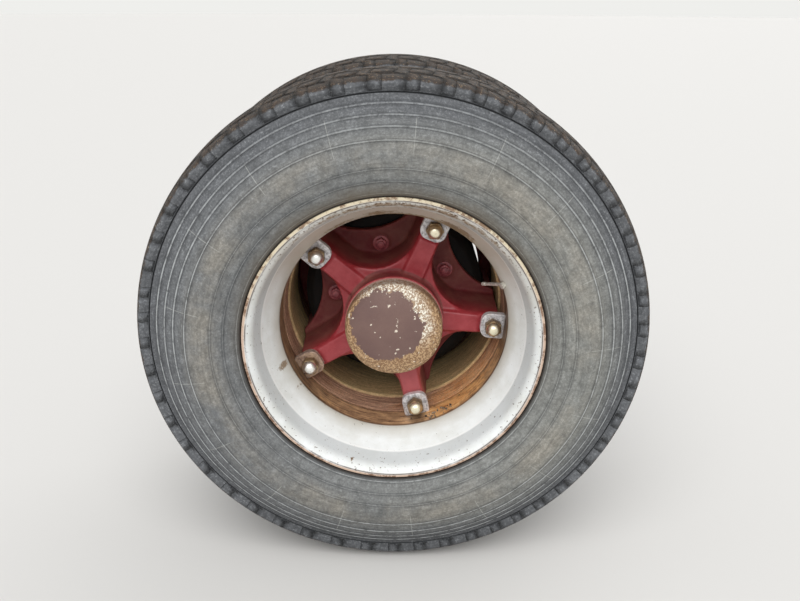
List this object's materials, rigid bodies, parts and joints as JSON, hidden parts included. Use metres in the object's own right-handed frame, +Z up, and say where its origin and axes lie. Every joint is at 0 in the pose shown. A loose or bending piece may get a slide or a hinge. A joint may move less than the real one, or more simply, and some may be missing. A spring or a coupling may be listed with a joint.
{
  "type": "twin cast-spoke truck wheel on an axle end",
  "caption": "Twin demountable truck wheel on a cast spoke hub with a brake drum, turning on the end of its axle.",
  "frame": {"origin": "centre of the inboard end of the axle tube, where the rest of the axle carries on", "axes": "+Y inboard along the axle, +Z up, -Y outboard through the hub cap"},
  "size_m": [1.04, 0.742, 1.0399],
  "materials": {
    "tyre_rubber": "weathered, brown in the tread",
    "rim_paint": "pale grey paint with rust at the edges",
    "band_rust": "bare and rusty",
    "casting_red": "dusty red paint on cast steel",
    "cap_primer": "chipped paint over red-brown primer",
    "clamp_zinc": "galvanised, worn at the edges",
    "stud_steel": "rusty thread",
    "nut_steel": "bright worn end, brown sides",
    "drum_iron": "rough cast",
    "axle_black": "dusty black paint",
    "valve_metal": "dull plated brass"
  },
  "bodies": {
    "axle_end": {"axle_tube": "axle_black", "brake_shield": "axle_black"},
    "twin_wheel": {"outer_tyre": "tyre_rubber", "inner_tyre": "tyre_rubber", "outer_rim": "rim_paint", "inner_rim": "rim_paint", "spacer_band": "band_rust", "spoke_wheel": "casting_red", "drum_bolts": "casting_red", "hub_cap": "cap_primer", "rim_clamps": "clamp_zinc", "clamp_studs": "stud_steel", "clamp_nuts": "nut_steel", "brake_drum": "drum_iron", "outer_valve": "valve_metal", "inner_valve": "valve_metal"}
  },
  "joints": [
    {"name": "wheel_spin", "type": "hinge", "parent": "axle_end", "child": "twin_wheel", "pos_m": [0, -0.45, 0], "axis": [0, 1, 0], "continuous": true}
  ]
}
